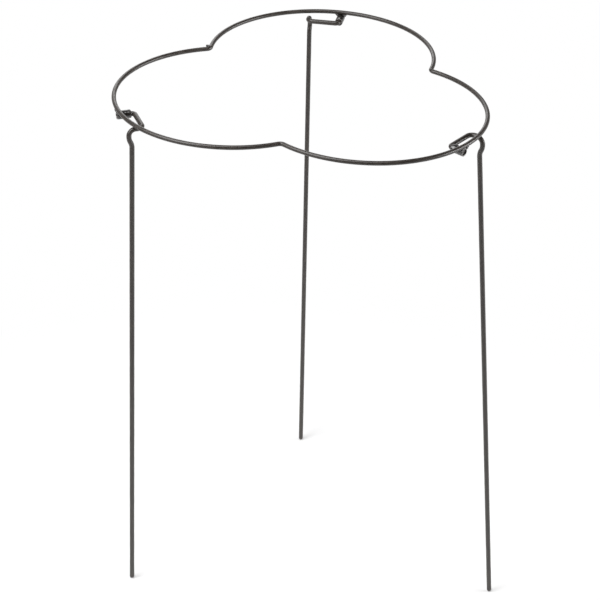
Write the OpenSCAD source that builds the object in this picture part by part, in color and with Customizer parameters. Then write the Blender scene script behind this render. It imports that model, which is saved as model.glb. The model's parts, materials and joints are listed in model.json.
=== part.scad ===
// Three-legged plant support: a clover-shaped wire hoop on three swinging wire legs.
// Millimetres. Z is up. The origin is on the ground, under the middle of the hoop.

/* [Hoop] */
// Diameter of the hoop's wire
hoop_wire = 4; // [3:0.1:5]
// Radius of each lobe, at the middle of the wire
lobe_r = 102.5; // [90:0.5:120]
// Distance from the middle of the hoop to the middle of each lobe
lobe_offset = 70.5; // [60:0.5:80]
// Radius of the tight kink between two lobes, at the middle of the wire
kink_r = 4.4; // [4:0.1:10]
// Height of the middle of the hoop's wire above the ground
hoop_h = 490; // [300:5:800]
// How far the burr on the weld that closes the hoop is larger than the wire, all round
burr_proud = 0.6; // [0.3:0.1:1]
// How far the middle of that burr lies outside the middle of the wire
burr_out = 1.4; // [0.6:0.1:1.8]
// How far the middle of that burr lies above the middle of the wire
burr_up = 0.6; // [0:0.1:1]
// Length of that burr along the wire
burr_len = 2.2; // [1:0.1:3]

/* [Pivot sleeves] */
// Length of each sleeve
sleeve_len = 12.5; // [10:0.5:16]
// Thickness of each sleeve's wall
sleeve_wall = 1.4; // [1:0.1:2]
// How far each sleeve stands out past the middle of the hoop's wire
sleeve_out = 1; // [0.5:0.1:1.2]
// How deep the hoop's wire has sunk into the sleeve as it was welded
weld_sink = 0.4; // [0.2:0.1:0.8]
// How far each weld runs along the hoop past the sleeve's side
weld_run = 1.8; // [1:0.1:4]
// How far each weld's sides lie in from the sides of the hoop's wire
weld_inset = 0.4; // [0.2:0.1:0.6]
// Thickness of each weld at its thin end
weld_toe = 0.2; // [0.1:0.05:0.5]
// Where each weld ends on the sleeve, in degrees above the sleeve's side
weld_angle = 20; // [0:1:40]

/* [Legs] */
// Diameter of the legs' wire
leg_wire = 4.5; // [3.5:0.1:5]
// Gap all round between a leg's pin and the bore of its sleeve
pin_play = 0.3; // [0.2:0.05:0.5]
// Distance that a leg's pin stops short of the sleeve's outer end
pin_short = 1; // [0:0.1:3]
// Gap between the sleeve's inner end and the start of the hook's first bend
end_play = 0.3; // [0.1:0.1:2]
// Distance from the pin to the crossbar, at the middle of the wire
hook_span = 29.7; // [20:0.1:40]
// Bend radius where the pin turns into the back bar, at the middle of the wire
pin_bend = 2.8; // [2.6:0.1:4.5]
// Bend radius where the back bar turns into the crossbar, at the middle of the wire
hook_bend = 5; // [4:0.1:6]
// Bend radius of the shoulder where the crossbar turns down, at the middle of the wire
shoulder_r = 6; // [5:0.1:7]
// Shortest straight run of the crossbar between its two bends
crossbar_min = 1; // [0.5:0.5:5]
// How far the shoulder stands out past the straight shank
shoulder_out = 2.5; // [2:0.1:4]
// Angle at which the wire runs back from the shoulder to the shank
sway_angle = 25; // [20:1:36]
// Straight run below the shoulder, and again between the two bends of the sway
sway_run = 1; // [0.5:0.1:1]

/* [Stance of the legs on the ground] */
// How far the left foot stands out from under the hoop
left_out = 8; // [-20:0.5:40]
// How far the left leg is swung up to the hoop, in degrees from where its hook is level
left_swing_angle = -0.5; // [-3:0.05:2.85]
// How far the right foot stands out from under the hoop
right_out = 34.5; // [-20:0.5:40]
// How far the right leg is swung up to the hoop, in degrees from where its hook is level
right_swing_angle = 2.85; // [-3:0.05:2.85]
// How far the back foot stands out from under the hoop
back_out = -11; // [-20:0.5:40]
// How far the back leg is swung up to the hoop, in degrees from where its hook is level
back_swing_angle = -0.65; // [-3:0.05:2.85]

/* [Hidden] */
$fn = 64;
back_at = 90;
lobe_step = 120;
left_at = back_at + lobe_step;
right_at = left_at + lobe_step;
// A hair's breadth by which a wire is thicker where two of its stretches meet, to make one solid
hair = 0.02;
// Length of such a thicker place on the hoop
joint_len = 0.4;

// The hoop: each kink is an arc that touches the two lobes beside it from outside
tip_r = lobe_offset + lobe_r;
kink_at = (lobe_offset + sqrt(4 * pow(lobe_r + kink_r, 2) - 3 * pow(lobe_offset, 2))) / 2;
lobe_half = atan2(kink_at * sin(lobe_step / 2), kink_at * cos(lobe_step / 2) - lobe_offset);
kink_half = lobe_half - lobe_step / 2;

// The burr on the closing weld
burr_r = hoop_wire / 2 + burr_proud;

// The sleeves lie under the wire at the lobes' tips
bore_d = leg_wire + 2 * pin_play;
sleeve_od = bore_d + 2 * sleeve_wall;
sleeve_drop = hoop_wire / 2 + sleeve_od / 2 - weld_sink;
pivot_h = hoop_h - sleeve_drop;
sleeve_end = tip_r + sleeve_out;
sleeve_in = sleeve_end - sleeve_len;
cut_past = 1;

// The welds fill the corners between the wire and the sleeve, and lap half of the sleeve's end
weld_w = hoop_wire - 2 * weld_inset;
weld_reach = sleeve_od / 2 + weld_run;
weld_lap_d = bore_d + sleeve_wall;
weld_top = -sqrt(pow(hoop_wire, 2) - pow(weld_w, 2)) / 2;

// The legs: the hook lies in the plane of its pin, and the shank hangs from under the hoop's wire
pin_end = sleeve_end - pin_short;
shank_x = lobe_offset + sqrt(pow(lobe_r, 2) - pow(hook_span, 2));
shoulder_x = shank_x + shoulder_out;
crossbar_end = shoulder_x - shoulder_r;
hook_x = min(sleeve_in - end_play - pin_bend, crossbar_end - crossbar_min - hook_bend);
sway_r = (shoulder_out - sway_run * sin(sway_angle)) / (2 * (1 - cos(sway_angle)));

// A bend of round wire in the XY plane, starting on the X axis
module wire_bend(bend_r, angle, wire_d) {
    rotate_extrude(angle = angle)
        translate([bend_r, 0])
            circle(d = wire_d);
}

// A straight run of round wire from one point to another
module wire_run(from, to, wire_d) {
    run = to - from;
    translate(from)
        rotate([0, acos(run.z / norm(run)), atan2(run.y, run.x)])
            cylinder(h = norm(run), d = wire_d);
}

// A bend of a leg's wire about its middle, in a plane turned from the level one
module leg_bend(middle, plane, start, bend_r, angle) {
    translate(middle)
        rotate(plane)
            rotate([0, 0, start])
                wire_bend(bend_r, angle, leg_wire);
}

// A whole ring of the hoop's wire on one lobe's circle, used to cut what is welded to it
module lobe_ring() {
    translate([lobe_offset, 0, hoop_h])
        wire_bend(lobe_r, 360, hoop_wire);
}

// A round rod on a sleeve's axis, along the radius of the hoop
module sleeve_rod(rod_d, from_x, to_x) {
    wire_run([from_x, 0, pivot_h], [to_x, 0, pivot_h], rod_d);
}

// The hoop: three lobes and three kinks of one closed wire
module hoop() {
    color("#403d3b")
        for (at = [back_at, left_at, right_at]) {
            rotate([0, 0, at])
                translate([lobe_offset, 0, hoop_h])
                    rotate([0, 0, -lobe_half])
                        wire_bend(lobe_r, 2 * lobe_half, hoop_wire);
            for (side = [-1, 1])
                rotate([0, 0, at])
                    translate([lobe_offset, 0, hoop_h])
                        rotate([0, 0, side * lobe_half])
                            translate([lobe_r, 0, 0])
                                rotate([90, 0, 0])
                                    cylinder(h = joint_len, d = hoop_wire + 2 * hair, center = true);
            rotate([0, 0, at + lobe_step / 2])
                translate([kink_at, 0, hoop_h])
                    rotate([0, 0, 180 - kink_half])
                        wire_bend(kink_r, 2 * kink_half, hoop_wire);
        }
}

// The burr of the weld that closes the hoop, on the outside of the back left kink
module hoop_closing_weld() {
    color("#34312f")
        rotate([0, 0, back_at + lobe_step / 2])
            difference() {
                translate([kink_at - kink_r + burr_out, burr_len / 2, hoop_h + burr_up])
                    rotate([90, 0, 0])
                        cylinder(h = burr_len, r = burr_r);
                translate([kink_at, 0, hoop_h])
                    wire_bend(kink_r, 360, hoop_wire);
            }
}

// A short tube under the tip of one lobe, with a saddle where the wire has sunk in
module sleeve(at) {
    color("#383533")
        rotate([0, 0, at])
            difference() {
                sleeve_rod(sleeve_od, sleeve_in, sleeve_end);
                sleeve_rod(bore_d, sleeve_in - cut_past, sleeve_end + cut_past);
                lobe_ring();
            }
}

// The weld between one sleeve and the hoop's wire, a fillet to each side along the wire
module sleeve_weld(at) {
    flank = [sleeve_od / 2 * cos(weld_angle), sleeve_od / 2 * sin(weld_angle) - sleeve_drop];
    color("#2f2c2a")
        rotate([0, 0, at])
            difference() {
                translate([tip_r - weld_w / 2, 0, hoop_h])
                    rotate([90, 0, 90])
                        linear_extrude(weld_w)
                            polygon([
                                [weld_reach, weld_top],
                                [-weld_reach, weld_top],
                                [-weld_reach, -hoop_wire / 2 - weld_toe],
                                [-flank.x, flank.y],
                                [flank.x, flank.y],
                                [weld_reach, -hoop_wire / 2 - weld_toe]
                            ]);
                lobe_ring();
                sleeve_rod(sleeve_od, sleeve_in, sleeve_end);
                sleeve_rod(weld_lap_d, sleeve_in, sleeve_end + cut_past);
            }
}

// One leg: pin, back bar, crossbar, shoulder, sway and shank of one bent wire, swung about its pin.
// The shank runs from the foot to where it just touches the lower bend of the sway.
module leg(at, foot_out, swing) {
    level = [0, 0, 0];
    upright = [90, 0, 0];
    pin_start = [hook_x + pin_bend, 0, 0];
    bar_start = [hook_x, pin_bend, 0];
    bar_end = [hook_x, hook_span - hook_bend, 0];
    crossbar_start = [hook_x + hook_bend, hook_span, 0];
    shoulder_start = [crossbar_end, hook_span, 0];
    neck_start = [shoulder_x, hook_span, -shoulder_r];
    neck_end = neck_start - [0, 0, sway_run];
    sway_start = neck_end - sway_r * [1 - cos(sway_angle), 0, sin(sway_angle)];
    sway_end = sway_start - sway_run * [sin(sway_angle), 0, cos(sway_angle)];
    sway_middle = sway_end + sway_r * [cos(sway_angle), 0, -sin(sway_angle)];
    foot_drop = (pivot_h - leg_wire / 2 + hair + hook_span * sin(swing)) / cos(swing);
    foot = [shank_x + foot_out, hook_span, -foot_drop];
    rise = sway_middle - foot;
    shank_tilt = atan2(rise.x, rise.z) - asin(sway_r / norm(rise));
    shank_start = sway_middle + sway_r * [-cos(shank_tilt), 0, sin(shank_tilt)];
    joints = [
        pin_start, bar_start, bar_end, crossbar_start, shoulder_start,
        neck_start, neck_end, sway_start, sway_end, shank_start
    ];
    color("#45423f")
        rotate([0, 0, at])
            translate([0, 0, pivot_h])
                rotate([swing, 0, 0]) {
                    wire_run(pin_start, [pin_end, 0, 0], leg_wire);
                    leg_bend([pin_start.x, bar_start.y, 0], level, 180, pin_bend, 90);
                    wire_run(bar_start, bar_end, leg_wire);
                    leg_bend([crossbar_start.x, bar_end.y, 0], level, 90, hook_bend, 90);
                    wire_run(crossbar_start, shoulder_start, leg_wire);
                    leg_bend([crossbar_end, hook_span, neck_start.z], upright, 0, shoulder_r, 90);
                    wire_run(neck_end, neck_start, leg_wire);
                    leg_bend(neck_end - [sway_r, 0, 0], upright, -sway_angle, sway_r, sway_angle);
                    wire_run(sway_end, sway_start, leg_wire);
                    leg_bend(sway_middle, upright, 180 - sway_angle, sway_r, sway_angle - shank_tilt);
                    wire_run(foot, shank_start, leg_wire);
                    for (joint = joints)
                        translate(joint)
                            sphere(d = leg_wire + 2 * hair);
                    translate(foot)
                        sphere(d = leg_wire - 2 * hair);
                }
}

module left_sleeve() { sleeve(left_at); }
module right_sleeve() { sleeve(right_at); }
module back_sleeve() { sleeve(back_at); }
module left_sleeve_weld() { sleeve_weld(left_at); }
module right_sleeve_weld() { sleeve_weld(right_at); }
module back_sleeve_weld() { sleeve_weld(back_at); }
module left_leg() { leg(left_at, left_out, left_swing_angle); }
module right_leg() { leg(right_at, right_out, right_swing_angle); }
module back_leg() { leg(back_at, back_out, back_swing_angle); }

hoop();
hoop_closing_weld();
left_sleeve();
right_sleeve();
back_sleeve();
left_sleeve_weld();
right_sleeve_weld();
back_sleeve_weld();
left_leg();
right_leg();
back_leg();
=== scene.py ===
import json

import bmesh
import bpy
import numpy as np
from mathutils import Matrix, Vector


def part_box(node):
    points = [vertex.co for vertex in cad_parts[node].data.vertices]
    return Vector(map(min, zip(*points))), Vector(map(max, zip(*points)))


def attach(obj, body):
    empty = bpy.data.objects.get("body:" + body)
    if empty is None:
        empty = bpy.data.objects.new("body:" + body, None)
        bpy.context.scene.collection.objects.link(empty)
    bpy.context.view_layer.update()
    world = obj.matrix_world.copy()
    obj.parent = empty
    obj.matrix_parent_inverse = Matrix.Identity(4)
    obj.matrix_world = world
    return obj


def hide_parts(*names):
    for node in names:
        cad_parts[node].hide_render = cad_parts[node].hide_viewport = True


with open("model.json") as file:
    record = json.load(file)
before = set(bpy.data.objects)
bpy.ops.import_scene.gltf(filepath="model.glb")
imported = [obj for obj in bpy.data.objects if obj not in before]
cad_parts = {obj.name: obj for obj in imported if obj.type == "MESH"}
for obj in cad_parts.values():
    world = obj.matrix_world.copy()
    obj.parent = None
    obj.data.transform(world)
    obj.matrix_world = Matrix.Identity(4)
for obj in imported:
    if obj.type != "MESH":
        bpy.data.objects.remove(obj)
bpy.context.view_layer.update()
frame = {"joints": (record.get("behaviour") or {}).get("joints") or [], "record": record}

# The camera: it stands in front of the support, a little to the right and well above the hoop,
# and looks down on it through a long lens, so that the legs stay nearly upright.
camera_place = (0.28203, -1.59408, 1.23215)
camera_turn, camera_tilt, camera_roll = np.radians([10.08, 59.26, 1.591])
camera_data = bpy.data.cameras.new("camera")
camera_data.sensor_width = 36.0
camera_data.lens = 120.02
camera = bpy.data.objects.new("camera", camera_data)
camera.matrix_world = (
    Matrix.Translation(camera_place)
    @ Matrix.Rotation(camera_turn, 4, "Z")
    @ Matrix.Rotation(camera_tilt, 4, "X")
    @ Matrix.Rotation(camera_roll, 4, "Z")
)
bpy.context.scene.collection.objects.link(camera)
bpy.context.scene.camera = camera
bpy.context.scene.view_settings.view_transform = "Standard"

# The studio: a white table in a white room, with soft lamps at the left and front left, a wide low one at
# the right, one above and a weak one behind. The lens sees the room and the far table plain white, and the
# table's own shade near the feet. In the coat's gloss the room is bright at the back left only.
seen_white = 1.0
table_half = 8.0
table_drop = 0.0002
table_white = 0.97
table_white_seen = 0.92
table_gloss_share = 0.4
table_near_share = 0.22
table_near_r, table_far_r = 0.24, 0.5
room_fill = 0.10
room_behind = 0.49
room_before = 0.0
room_bright_side = (-0.62, 0.78, -0.05)
room_edge = 0.0
lamp_aim = (0, 0, 0.45)
lamps = {
    "lamp_left": {"place": (-0.57, -0.36, 1.32), "size": (0.9, 1.0), "watts": 8.7},
    "lamp_left_front": {"place": (-0.58, -0.58, 1.02), "size": (0.8, 0.8), "watts": 5.1},
    "lamp_right": {"place": (1.76, 0.25, 0.76), "size": (1.4, 0.7), "watts": 28},
    "lamp_above": {"place": (-0.07, -0.52, 2.07), "size": (1.2, 0.8), "watts": 12.4},
    "lamp_front": {"place": (-1.06, -1.18, 1.30), "size": (1.2, 1.0), "watts": 4.8},
    "lamp_back": {"place": (-0.39, 1.06, 0.86), "size": (0.8, 0.6), "watts": 3.0},
}


def seen_by_lens(nodes, links, rays):
    """1 for a ray that comes from the lens, straight or through glass, and 0 for every other ray."""
    either = nodes.new("ShaderNodeMath")
    either.operation = "MAXIMUM"
    links.new(rays["Is Camera Ray"], either.inputs[0])
    links.new(rays["Is Transmission Ray"], either.inputs[1])
    return either.outputs[0]


def blended(nodes, links, share, low, high):
    """A number that goes from low to high as share goes from 0 to 1. Both ends are numbers or sockets."""
    blend = nodes.new("ShaderNodeMix")
    links.new(share, blend.inputs["Factor"])
    for end, value in (("A", low), ("B", high)):
        if isinstance(value, bpy.types.NodeSocket):
            links.new(value, blend.inputs[end])
        else:
            blend.inputs[end].default_value = value
    return blend.outputs["Result"]


room = bpy.data.worlds.new("room")
bpy.context.scene.world = room
room.use_nodes = True
room_nodes, room_links = room.node_tree.nodes, room.node_tree.links
room_rays = room_nodes.new("ShaderNodeLightPath").outputs
room_seen = seen_by_lens(room_nodes, room_links, room_rays)
room_side = room_nodes.new("ShaderNodeVectorMath")
room_side.operation = "DOT_PRODUCT"
room_side.inputs[1].default_value = Vector(room_bright_side).normalized()
room_links.new(room_nodes.new("ShaderNodeTexCoord").outputs["Generated"], room_side.inputs[0])
room_range = room_nodes.new("ShaderNodeMapRange")
room_range.inputs["From Min"].default_value = room_edge
room_range.inputs["From Max"].default_value = 1.0
room_range.inputs["To Min"].default_value = room_before
room_range.inputs["To Max"].default_value = room_behind
room_links.new(room_side.outputs["Value"], room_range.inputs["Value"])
room_mirrored = room_range.outputs["Result"]
room_unseen = blended(room_nodes, room_links, room_rays["Is Glossy Ray"], room_fill, room_mirrored)
room_level = blended(room_nodes, room_links, room_seen, room_unseen, seen_white)
room_links.new(room_level, room_nodes["Background"].inputs["Strength"])
room_nodes["Background"].inputs["Color"].default_value = (1, 1, 1, 1)

table_paint = bpy.data.materials.new("table_white")
table_paint.use_nodes = True
table_nodes, table_links = table_paint.node_tree.nodes, table_paint.node_tree.links
table_nodes.remove(table_nodes["Principled BSDF"])
table_rays = table_nodes.new("ShaderNodeLightPath").outputs
table_seen = seen_by_lens(table_nodes, table_links, table_rays)
table_distance = table_nodes.new("ShaderNodeVectorMath")
table_distance.operation = "LENGTH"
table_links.new(table_nodes.new("ShaderNodeTexCoord").outputs["Object"], table_distance.inputs[0])
table_range = table_nodes.new("ShaderNodeMapRange")
table_range.interpolation_type = "SMOOTHSTEP"
table_range.inputs["From Min"].default_value = table_near_r
table_range.inputs["From Max"].default_value = table_far_r
table_range.inputs["To Min"].default_value = table_near_share
table_range.inputs["To Max"].default_value = 1.0
table_links.new(table_distance.outputs["Value"], table_range.inputs["Value"])
table_matt = table_nodes.new("ShaderNodeBsdfDiffuse")
table_shade = blended(table_nodes, table_links, table_seen, table_white, table_white_seen)
table_links.new(table_shade, table_matt.inputs["Color"])
table_mix = table_nodes.new("ShaderNodeMixShader")
table_unseen = blended(table_nodes, table_links, table_rays["Is Glossy Ray"], 0.0, table_gloss_share)
table_glow = blended(table_nodes, table_links, table_seen, table_unseen, table_range.outputs["Result"])
table_links.new(table_glow, table_mix.inputs["Fac"])
table_links.new(table_matt.outputs[0], table_mix.inputs[1])
table_light = table_nodes.new("ShaderNodeEmission")
table_light.inputs["Strength"].default_value = seen_white
table_links.new(table_light.outputs[0], table_mix.inputs[2])
table_links.new(table_mix.outputs[0], table_nodes["Material Output"].inputs["Surface"])
table_corners = table_half * np.array([[-1, -1, 0], [1, -1, 0], [1, 1, 0], [-1, 1, 0]]) - [0, 0, table_drop]
table_mesh = bpy.data.meshes.new("table")
table_mesh.from_pydata(table_corners.tolist(), [], [(0, 1, 2, 3)])
table_mesh.materials.append(table_paint)
table = bpy.data.objects.new("table", table_mesh)
bpy.context.scene.collection.objects.link(table)

for lamp_name, lamp in lamps.items():
    lamp_data = bpy.data.lights.new(lamp_name, "AREA")
    lamp_data.shape = "RECTANGLE"
    lamp_data.size, lamp_data.size_y = lamp["size"]
    lamp_data.energy = lamp["watts"]
    lamp_object = bpy.data.objects.new(lamp_name, lamp_data)
    lamp_line = Vector(lamp_aim) - Vector(lamp["place"])
    lamp_turn = lamp_line.to_track_quat("-Z", "Y").to_matrix().to_4x4()
    lamp_object.matrix_world = Matrix.Translation(lamp["place"]) @ lamp_turn
    lamp_object.visible_camera = False
    bpy.context.scene.collection.objects.link(lamp_object)

# The hoop: one length of 4 mm steel wire, bent cold into three lobes with a tight kink between
# each two, welded end to end into a ring, and coated dark. Each kink is squeezed a little oval.
hoop_wire_r = 0.002
lobe_r = 0.1025
kink_r = 0.0044
kink_squeeze = 0.07
coat_wave_depth = 0.012
coat_wave_length = 0.011
lobe_angles = np.radians([90.0, 210.0, 330.0])
lobe_step = np.radians(120.0)
lobe_stations, kink_stations, wire_sides = 240, 36, 40
hoop_colour = (0.031, 0.0255, 0.022)
hoop_low, hoop_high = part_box("hoop")
hoop_z = (hoop_low.z + hoop_high.z) / 2
swings = {joint["child"]: joint for joint in frame["joints"]}
tip_r = np.hypot(*swings["back_leg"]["pos_m"][:2])
lobe_offset = tip_r - lobe_r
# How far out a kink's circle lies that touches two lobes from outside, and half the angle of each arc.
kink_at = (lobe_offset + np.sqrt(4 * (lobe_r + kink_r) ** 2 - 3 * lobe_offset**2)) / 2
lobe_half = np.arctan2(kink_at * np.sin(lobe_step / 2), kink_at * np.cos(lobe_step / 2) - lobe_offset)
kink_half = lobe_half - lobe_step / 2


def toward(angle):
    """Unit vectors in the level plane, at angles counted from +X."""
    return np.stack([np.cos(angle), np.sin(angle), np.zeros_like(angle)], axis=-1)


def wander(points, length):
    """A soft unevenness from -1 to 1: the mean of four sine waves that cross the points in four
    directions, the first of them length long and each a little longer than the one before."""
    directions = np.array(
        [[0.83, 0.41, 0.38], [-0.52, 0.71, 0.47], [0.31, -0.64, 0.70], [0.58, 0.33, -0.75]]
    )
    lengths = length * np.array([1.0, 1.37, 1.83, 2.61])
    return np.sin(2 * np.pi * (points @ directions.T) / lengths).mean(axis=-1)


def hoop_line():
    """The middle of the hoop's wire as points, their normals and how far each point is into a kink.
    A lobe's arc runs lobe_half to each side of its tip, and a kink's arc turns back by 2 kink_half."""
    points, normals, kinked = [], [], []
    for tip in lobe_angles:
        lobe = tip + np.linspace(-lobe_half, lobe_half, lobe_stations, endpoint=False)
        points.append(lobe_offset * toward(tip) + lobe_r * toward(lobe))
        normals.append(toward(lobe))
        kinked.append(np.zeros(lobe_stations))
        share = np.linspace(0, 1, kink_stations, endpoint=False)
        kink = tip + lobe_step / 2 + np.pi + kink_half * (1 - 2 * share)
        points.append(kink_at * toward(tip + lobe_step / 2) + kink_r * toward(kink))
        normals.append(-toward(kink))
        kinked.append(np.sin(np.pi * share) ** 2)
    points = np.concatenate(points) + [0, 0, hoop_z]
    return points, np.concatenate(normals), np.concatenate(kinked)


def coated(line, radius, spokes):
    """The outside of a coated wire: from each point of its line a ring of spokes, as long as the radius
    there less what the coat's unevenness takes away."""
    surface = line[:, None, :] + radius[:, None, None] * spokes
    thinned = radius[:, None] * coat_wave_depth * (1 + wander(surface, coat_wave_length))
    return surface - thinned[:, :, None] * spokes


def hoop_rings():
    """A circle of the wire's radius at each point of the hoop's line, in the plane of the normal and Z.
    In a kink it is narrower along the normal."""
    points, normals, kinked = hoop_line()
    around = np.linspace(0, 2 * np.pi, wire_sides, endpoint=False)
    narrow = (1 - kink_squeeze * kinked)[:, None, None]
    spokes = narrow * np.cos(around)[:, None] * normals[:, None, :] + np.sin(around)[:, None] * [0, 0, 1]
    return coated(points, np.full(len(points), hoop_wire_r), spokes)


def add_piece(name, stacks, material, body, node):
    """Puts one piece into the scene in place of a CAD node. stacks is a list of (rings, closed, bared),
    where rings is an array (stations, sides, 3). Neighbouring rings are joined by quads. A closed stack
    joins its last ring to its first, and an open one is capped by a fan to the middle of each end ring.
    The third item of each stack says for each ring, from 0 to 1, how much of its coat is painted a lighter
    grey, for worn coat and for painted light."""
    corners, faces, wear_and_light_values, count = [], [], [], 0
    for rings, closed, wear_and_painted_light in stacks:
        stations, sides = rings.shape[:2]
        ring, side = np.meshgrid(np.arange(stations - (not closed)), np.arange(sides), indexing="ij")
        here, there = count + ring * sides, count + (ring + 1) % stations * sides
        beside = (side + 1) % sides
        quads = np.stack([here + side, here + beside, there + beside, there + side], -1)
        faces += quads.reshape(-1, 4).tolist()
        corners.append(rings.reshape(-1, 3))
        wear_and_light_values.append(np.repeat(wear_and_painted_light, sides))
        count += stations * sides
        if not closed:
            turn = np.arange(sides)
            first, last = count - stations * sides, count - sides
            start_fan = np.stack([np.full(sides, count), first + (turn + 1) % sides, first + turn], -1)
            end_fan = np.stack([np.full(sides, count + 1), last + turn, last + (turn + 1) % sides], -1)
            faces += np.concatenate([start_fan, end_fan]).tolist()
            corners.append(rings[[0, -1]].mean(axis=1))
            wear_and_light_values.append(wear_and_painted_light[[0, -1]])
            count += 2
    mesh = bpy.data.meshes.new(name)
    mesh.from_pydata(np.concatenate(corners).tolist(), [], faces)
    mesh.attributes.new("wear_and_painted_light", "FLOAT", "POINT").data.foreach_set("value", np.concatenate(wear_and_light_values))
    shell = bmesh.new()
    shell.from_mesh(mesh)
    bmesh.ops.recalc_face_normals(shell, faces=shell.faces)
    shell.to_mesh(mesh)
    shell.free()
    mesh.shade_smooth()
    mesh.materials.append(material)
    piece = bpy.data.objects.new(name, mesh)
    bpy.context.scene.collection.objects.link(piece)
    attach(piece, body)
    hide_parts(node)


def dark_coat(name, colour, roughness, peel, shine):
    """A thin dark coat on steel. Its colour wanders by a fifth in soft patches a few millimetres wide,
    its gloss breaks up with them, and a fine orange peel half a millimetre wide lifts it by peel metres.
    shine is how strongly it mirrors the lamps, 0.5 for plain paint and 1 for thick glossy coat.
    Where the piece's attribute for wear and painted light says so, it is painted a lighter grey in specks,
    for worn coat and for painted light."""
    patch_scale, patch_detail = 160.0, 3.0
    patch_low, patch_high = 0.3, 0.7
    tint_dark, tint_light = 0.78, 1.22
    gloss_spread = 0.06
    peel_scale, peel_detail = 2000.0, 2.0
    # The lighter grey of the specks: bare metal, and also painted highlight and painted floor bounce light.
    worn_and_lit_grey = (0.19, 0.18, 0.17)
    # A Mix node's sockets for colours share their names with others, so they are told by number.
    mix_first, mix_second, mix_result = 6, 7, 2
    material = bpy.data.materials.new(name)
    material.use_nodes = True
    nodes, links = material.node_tree.nodes, material.node_tree.links
    shader = nodes["Principled BSDF"]
    shader.inputs["Specular IOR Level"].default_value = shine
    place = nodes.new("ShaderNodeTexCoord").outputs["Object"]

    patches = nodes.new("ShaderNodeTexNoise")
    patches.inputs["Scale"].default_value = patch_scale
    patches.inputs["Detail"].default_value = patch_detail
    links.new(place, patches.inputs["Vector"])
    tint = nodes.new("ShaderNodeValToRGB")
    tint.color_ramp.elements[0].position = patch_low
    tint.color_ramp.elements[0].color = (*(tint_dark * part for part in colour), 1)
    tint.color_ramp.elements[1].position = patch_high
    tint.color_ramp.elements[1].color = (*(tint_light * part for part in colour), 1)
    links.new(patches.outputs["Fac"], tint.inputs["Fac"])

    grain = nodes.new("ShaderNodeTexNoise")
    grain.inputs["Scale"].default_value = peel_scale
    grain.inputs["Detail"].default_value = peel_detail
    links.new(place, grain.inputs["Vector"])
    bump = nodes.new("ShaderNodeBump")
    bump.inputs["Strength"].default_value = 1.0
    bump.inputs["Distance"].default_value = peel
    links.new(grain.outputs["Fac"], bump.inputs["Height"])
    links.new(bump.outputs["Normal"], shader.inputs["Normal"])

    # Painted light and wear: the specks lighten the coat where the piece's attribute says, on worn rims and
    # as painted highlight and floor bounce.
    wear_and_painted_light = nodes.new("ShaderNodeAttribute")
    wear_and_painted_light.attribute_name = "wear_and_painted_light"
    worn_and_lit_specks = nodes.new("ShaderNodeMath")
    worn_and_lit_specks.operation = "MULTIPLY"
    links.new(wear_and_painted_light.outputs["Fac"], worn_and_lit_specks.inputs[0])
    links.new(grain.outputs["Fac"], worn_and_lit_specks.inputs[1])
    worn_and_lit_blend = nodes.new("ShaderNodeMix")
    worn_and_lit_blend.data_type = "RGBA"
    worn_and_lit_blend.inputs[mix_second].default_value = (*worn_and_lit_grey, 1)
    links.new(worn_and_lit_specks.outputs[0], worn_and_lit_blend.inputs["Factor"])
    links.new(tint.outputs["Color"], worn_and_lit_blend.inputs[mix_first])
    links.new(worn_and_lit_blend.outputs[mix_result], shader.inputs["Base Color"])

    gloss = nodes.new("ShaderNodeMapRange")
    gloss.inputs["From Min"].default_value = patch_low
    gloss.inputs["From Max"].default_value = patch_high
    gloss.inputs["To Min"].default_value = roughness - gloss_spread
    gloss.inputs["To Max"].default_value = roughness + gloss_spread
    links.new(patches.outputs["Fac"], gloss.inputs["Value"])
    links.new(gloss.outputs["Result"], shader.inputs["Roughness"])
    return material


hoop_coat = dark_coat("hoop_coat", hoop_colour, roughness=0.34, peel=0.00002, shine=0.5)
hoop_surface = hoop_rings()
hoop_stack = (hoop_surface, True, np.zeros(len(hoop_surface)))
add_piece("hoop_wire", [hoop_stack], hoop_coat, "frame", "hoop")

# The closing weld: the hoop's two ends are butt welded at the back left kink. The upset steel stands
# proud as an uneven collar, mostly above and on the outer side, and was coated with the rest.
collar_half = 0.0011
collar_r = 0.0026
collar_out = 0.0014
collar_up = 0.0006
collar_face = 0.02
dent_count, dent_depth, dent_turn = 3, 0.05, 0.6
ripple_count, ripple_depth, ripple_twist = 7, 0.03, 2
nib_height = 0.24
nib_angle, nib_spread = np.radians([35.0, 16.0])
collar_stations, collar_sides = 25, 48
weld_colour = (0.013, 0.011, 0.010)
weld_coat = dark_coat("weld_coat", weld_colour, roughness=0.15, peel=0.00005, shine=1.0)


def collar_rings():
    """A disc across the wire whose radius falls off to its two faces as the fourth root of one minus the
    fourth power of the place along the wire, which is kept from falling under collar_face. Its rim has
    wide dents, fine ripples that twist along the wire, and one nib that points up and outwards."""
    along = np.linspace(-1, 1, collar_stations)[:, None]
    around = np.linspace(0, 2 * np.pi, collar_sides, endpoint=False)[None, :]
    dents = dent_depth * (1 + np.cos(dent_count * around + dent_turn))
    ripples = ripple_depth * (1 + np.cos(ripple_count * around + ripple_twist * along))
    nib = nib_height * np.exp(-(((around - nib_angle) / nib_spread) ** 2))
    radius = collar_r * (1 - dents - ripples + nib) * np.maximum(1 - along**4, collar_face) ** 0.25
    kink_angle = lobe_angles[0] + lobe_step / 2
    out, across = toward(kink_angle), toward(kink_angle + np.pi / 2)
    middle = (kink_at - kink_r + collar_out) * out + [0, 0, hoop_z + collar_up]
    return (
        middle
        + (radius * np.cos(around))[..., None] * out
        + (radius * np.sin(around))[..., None] * [0, 0, 1]
        + (collar_half * along * np.ones_like(around))[..., None] * across
    )


collar_stack = (collar_rings(), False, np.zeros(collar_stations))
add_piece("closing_weld", [collar_stack], weld_coat, "frame", "hoop_closing_weld")

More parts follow.
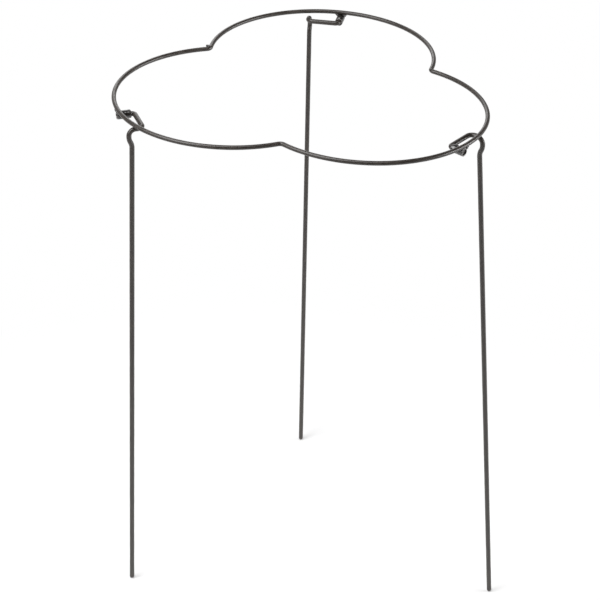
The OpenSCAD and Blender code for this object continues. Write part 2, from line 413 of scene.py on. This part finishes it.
# The sleeves: short lengths of thick-walled steel tube, one under the tip of each lobe, pointing to the
# middle of the hoop. The hoop's wire has sunk into their tops. Their cut rims are painted a lighter grey,
# partly for coat chipped off them and partly as a painted rim highlight.
sleeve_inner_end = 0.1615
sleeve_outer_end = 0.1740
sleeve_r = 0.00395
bore_r = 0.00255
rim_round = 0.0006
rim_steps = 8
wall_steps = 24
sleeve_lump = 0.05
rim_chip_and_highlight_depth = 0.001
sleeve_lump_length = 0.0026
sleeve_sides = 64
sleeve_colour = (0.014, 0.012, 0.011)
sleeve_coat = dark_coat("sleeve_coat", sleeve_colour, roughness=0.18, peel=0.00004, shine=0.9)
leg_bodies = ("left_leg", "right_leg", "back_leg")


def beside_lobe(body):
    """The height of a leg's pivot, and three directions at its lobe: outwards, along the hoop and up."""
    out = -np.array(swings[body]["axis"])
    up = np.array([0.0, 0.0, 1.0])
    return swings[body]["pos_m"][2], out, np.cross(up, out), up


def sleeve_profile():
    """The closed outline of the tube's wall as (along, radius): out along the outside and back along the
    bore, with a quarter circle of radius rim_round at each of its four corners."""
    quarter = np.pi / 2 - np.linspace(0, np.pi / 2, rim_steps)
    corners = (
        (sleeve_inner_end, bore_r, 1, 1, np.pi),
        (sleeve_inner_end, sleeve_r, 1, -1, np.pi / 2),
        (sleeve_outer_end, sleeve_r, -1, -1, 0),
        (sleeve_outer_end, bore_r, -1, 1, -np.pi / 2),
    )
    outline = []
    for end, wall, inward, away, start in corners:
        along = end + rim_round * (inward + np.cos(start + quarter))
        radius = wall + rim_round * (away + np.sin(start + quarter))
        outline.append(np.stack([along, radius], -1))
    outside = np.linspace(outline[1][-1], outline[2][0], wall_steps)[1:-1]
    return np.concatenate([outline[0], outline[1], outside, outline[2], outline[3]])


def sleeve_rings(body):
    """The wall's outline turned about the sleeve's axis, with lumps in the coat that only take away."""
    pivot_z, out, along, up = beside_lobe(body)
    outline = sleeve_profile()
    around = np.linspace(0, 2 * np.pi, sleeve_sides, endpoint=False)
    spokes = np.cos(around)[:, None] * along + np.sin(around)[:, None] * up
    axis_line = pivot_z * up + outline[:, 0, None] * out
    smooth = axis_line[:, None, :] + outline[:, 1, None, None] * spokes
    outside = np.clip((outline[:, 1] - bore_r) / (sleeve_r - bore_r), 0, 1)
    lumps = 1 - sleeve_lump * outside[:, None] * (1 - wander(smooth, sleeve_lump_length))
    return axis_line[:, None, :] + (outline[:, 1, None] * lumps)[:, :, None] * spokes


def chipped_and_lit_rims():
    """How much lighter grey the tube's outline is painted: all of it at the cut ends and none a millimetre
    in. This stands for coat chipped off the rims and for a painted rim highlight.
    """
    outline = sleeve_profile()
    from_end = np.minimum(outline[:, 0] - sleeve_inner_end, sleeve_outer_end - outline[:, 0])
    return np.clip(1 - from_end / rim_chip_and_highlight_depth, 0, 1)


for leg_body in leg_bodies:
    side_name = leg_body.replace("_leg", "")
    tube = sleeve_rings(leg_body)
    # The rims' lighter grey is chipped coat and a painted rim highlight.
    tube_stack = (tube, True, chipped_and_lit_rims())
    add_piece(side_name + "_tube", [tube_stack], sleeve_coat, "frame", side_name + "_sleeve")

# The sleeve welds: beads of weld steel, one in the corner to each side of the sleeve, under the hoop's wire,
# and a thin one that laps over the sleeve's outer rim. They are lumpy, rounded off and coated over thickly.
bead_half = 0.0019
bead_lump = 0.3
bead_lump_length = 0.0018
bead_stations, bead_sides = 33, 40
lap_r = 0.0006
lap_reach = np.radians(56)
bead_end = 0.01
# The root and the corners of a bead's section, along the hoop and up from the middle of its wire.
bead_root = np.array([0.0020, -0.0018])
bead_corners = np.array(
    [
        [0.0066, -0.0012],
        [0.0066, -0.0025],
        [0.0057, -0.0034],
        [0.0042, -0.0046],
        [0.0024, -0.0034],
        [0.0022, -0.0011],
    ]
)


def smooth_loop(corners, count):
    """A closed curve of count points that rounds off its corners. At a share t of the way past one corner's
    turn, it blends three neighbours by (1 - t)^2 / 2, 1 / 2 + t - t^2 and t^2 / 2."""
    place = np.arange(count) * len(corners) / count
    index = place.astype(int)
    part = (place - index)[:, None]
    before, here, after = (corners[(index + step) % len(corners)] for step in (-1, 0, 1))
    return 0.5 * (1 - part) ** 2 * before + (0.5 + part - part**2) * here + 0.5 * part**2 * after


def bead_rings(body, side):
    """The bead's section, carried across the wire and drawn in to the root of the corner at both ends as
    the square root of one minus the fourth power of the place, which is kept from falling under bead_end.
    Its lumps then shrink it here and there."""
    out, along, up = beside_lobe(body)[1:]
    section = smooth_loop(bead_corners, bead_sides) - bead_root
    place = np.linspace(-1, 1, bead_stations)
    size = np.sqrt(np.maximum(1 - place**4, bead_end))[:, None]
    root = tip_r * out + hoop_z * up + side * bead_root[0] * along + bead_root[1] * up
    spine = root + (bead_half * place)[:, None] * out
    spokes = size[:, :, None] * (side * section[:, :1] * along + section[:, 1:] * up)
    lumps = 1 - bead_lump * (1 - wander(spine[:, None, :] + spokes, bead_lump_length))
    return spine[:, None, :] + lumps[:, :, None] * spokes


def lap_rings(body):
    """A small round bead along the top of the sleeve's outer rim, thinning to its ends as a half circle."""
    pivot_z, out, along, up = beside_lobe(body)
    place = np.linspace(-1, 1, bead_stations)
    angle = lap_reach * place
    away = np.sin(angle)[:, None] * along + np.cos(angle)[:, None] * up
    rim = pivot_z * up + sleeve_outer_end * out + (sleeve_r - lap_r) * away
    around = np.linspace(0, 2 * np.pi, bead_sides, endpoint=False)
    spokes = np.cos(around)[:, None] * out + np.sin(around)[:, None] * away[:, None, :]
    size = lap_r * np.sqrt(np.maximum(1 - place**2, bead_end))
    return rim[:, None, :] + size[:, None, None] * spokes


for leg_body in leg_bodies:
    side_name = leg_body.replace("_leg", "")
    coated_over = np.zeros(bead_stations)
    beads = [bead_rings(leg_body, 1), bead_rings(leg_body, -1), lap_rings(leg_body)]
    bead_stacks = [(bead, False, coated_over) for bead in beads]
    weld_node = side_name + "_sleeve_weld"
    add_piece(side_name + "_weld_beads", bead_stacks, weld_coat, "frame", weld_node)

# The legs: one length of 4.5 mm steel wire each, bent cold and coated dark. A pin that turns in the sleeve,
# a flat hook of two square bends, a crossbar under the hoop, a shoulder that stands out a little, and a long
# straight shank with a domed foot. The shank is painted lighter grey in specks towards the foot, a painted
# floor bounce light.
leg_wire_r = 0.00225
pin_end = 0.1730
pin_round = 0.0004
hook_x = 0.1584
pin_bend = 0.0028
hook_bend = 0.005
hook_span = 0.0297
shoulder_r = 0.006
shoulder_out = 0.0025
sway_angle = np.radians(25)
sway_run = 0.001
bend_stations, shank_stations, dome_stations, cut_stations = 20, 160, 12, 8
bend_squeeze = 0.05
sway_tightness = 0.3
ring_lean = 0.6
# Painted floor bounce light: how much lighter the legs' coat is painted at the ground, and the height where
# it fades out.
floor_bounce_paint = 0.3
floor_bounce_height = 0.3
leg_colour = (0.029, 0.024, 0.0205)
leg_coat = dark_coat("leg_coat", leg_colour, roughness=0.34, peel=0.00002, shine=0.5)
feet = {mount["name"]: np.array(mount["pos_m"]) for mount in frame["record"]["mounts"]}


def arc(middle, radius, start, turn, second):
    """Points on a circle about middle, from the angle start through turn, in the plane of X and second."""
    angle = np.linspace(start, start + turn, bend_stations)[:, None]
    return middle + radius * (np.cos(angle) * [1, 0, 0] + np.sin(angle) * second)


def leg_line(body):
    """The middle of a leg's wire as points, and how far each is into a bend. With the pin along X, the
    wire runs in along it, round two quarter turns, out along the crossbar, down a quarter turn, back
    through two opposite arcs of one radius, and straight on to the foot. Then it is all swung about the
    pin to where the foot is."""
    pivot_z, out, along, up = beside_lobe(body)
    foot = feet[body.replace("_leg", "_foot")] - pivot_z * up
    foot_x, foot_y, foot_z = np.stack([out, along, up]) @ foot
    foot_drop = np.sqrt(foot_y**2 + foot_z**2 - hook_span**2)
    swing = np.arctan2(foot_z, foot_y) + np.arctan2(foot_drop, hook_span)
    level, upright, quarter = np.array([0, 1, 0]), np.array([0, 0, 1]), np.pi / 2
    shoulder_x = lobe_offset + np.sqrt(lobe_r**2 - hook_span**2) + shoulder_out
    sway_r = (shoulder_out - sway_run * np.sin(sway_angle)) / (2 * (1 - np.cos(sway_angle)))
    neck_z = -shoulder_r - sway_run
    sway_x = shoulder_x - sway_r + 2 * sway_r * np.cos(sway_angle) - sway_run * np.sin(sway_angle)
    sway_z = neck_z - 2 * sway_r * np.sin(sway_angle) - sway_run * np.cos(sway_angle)
    sway_middle = np.array([sway_x, hook_span, sway_z])
    rise = sway_middle - [foot_x, hook_span, -foot_drop]
    tilt = np.arctan2(rise[0], rise[2]) - np.arcsin(sway_r / np.linalg.norm(rise))
    pin = np.array([[(pin_end + hook_x) / 2, 0, 0]])
    pin_turn = arc([hook_x + pin_bend, pin_bend, 0], pin_bend, -quarter, -quarter, level)
    hook_middle = [hook_x + hook_bend, hook_span - hook_bend, 0]
    hook_turn = arc(hook_middle, hook_bend, 2 * quarter, -quarter, level)
    shoulder_middle = [shoulder_x - shoulder_r, hook_span, -shoulder_r]
    shoulder = arc(shoulder_middle, shoulder_r, quarter, -quarter, upright)
    sway_back = arc([shoulder_x - sway_r, hook_span, neck_z], sway_r, 0, -sway_angle, upright)
    sway_down = arc(sway_middle, sway_r, 2 * quarter - sway_angle, sway_angle - tilt, upright)
    shank = np.linspace(sway_down[-1], [foot_x, hook_span, -foot_drop], shank_stations)[1:]
    runs = [pin, pin_turn, hook_turn, shoulder, sway_back, sway_down, shank]
    tightness = [0, 1, 1, 1, sway_tightness, sway_tightness, 0]
    into_bend = [
        tight * np.sin(np.linspace(0, np.pi, len(run))) ** 2 for run, tight in zip(runs, tightness)
    ]
    swung = np.cos(swing) * along + np.sin(swing) * up
    raised = np.cos(swing) * up - np.sin(swing) * along
    points = np.concatenate(runs) @ np.stack([out, swung, raised]) + pivot_z * up
    return points, np.concatenate(into_bend)


def leg_rings(body):
    """Circles of the wire's radius along the leg's line, each square to it and a little smaller in a bend.
    At the pin's end they shrink round a small quarter circle to a flat cut, and at the foot round a large
    one to a dome that touches the ground. Each circle is counted from a direction square to the line and
    to a leaning one that no stretch of the wire follows."""
    pivot_z, out, along, up = beside_lobe(body)
    points, bend = leg_line(body)
    heading = np.gradient(points, axis=0)
    heading /= np.linalg.norm(heading, axis=1, keepdims=True)
    corner = np.linspace(0, np.pi / 2, cut_stations)
    cut = pivot_z * up + (pin_end - pin_round * (1 - np.cos(corner)))[:, None] * out
    cut_r = leg_wire_r - pin_round * (1 - np.sin(corner))
    dome_angle = np.linspace(0, np.pi / 2, dome_stations, endpoint=False)[1:]
    dome_r = points[-1, 2]
    dome = points[-1] + heading[-1] * (dome_r * np.sin(dome_angle))[:, None]
    line = np.concatenate([cut, points, dome])
    cut_heading, dome_heading = np.tile(-out, (len(cut), 1)), np.tile(heading[-1], (len(dome), 1))
    heading = np.concatenate([cut_heading, heading, dome_heading])
    radius = np.concatenate([cut_r, leg_wire_r * (1 - bend_squeeze * bend), dome_r * np.cos(dome_angle)])
    first = np.cross(heading, up - ring_lean * along)
    first /= np.linalg.norm(first, axis=1, keepdims=True)
    second = np.cross(heading, first)
    around = np.linspace(0, 2 * np.pi, wire_sides, endpoint=False)[:, None]
    return coated(line, radius, np.cos(around) * first[:, None, :] + np.sin(around) * second[:, None, :])


for leg_body in leg_bodies:
    leg_surface = leg_rings(leg_body)
    # Painted floor bounce light: lighter grey specks that grow towards the ground.
    painted_floor_bounce = floor_bounce_paint * np.clip(1 - leg_surface[:, :, 2].mean(axis=1) / floor_bounce_height, 0, 1)
    leg_stack = (leg_surface, False, painted_floor_bounce)
    add_piece(leg_body + "_wire", [leg_stack], leg_coat, leg_body, leg_body)
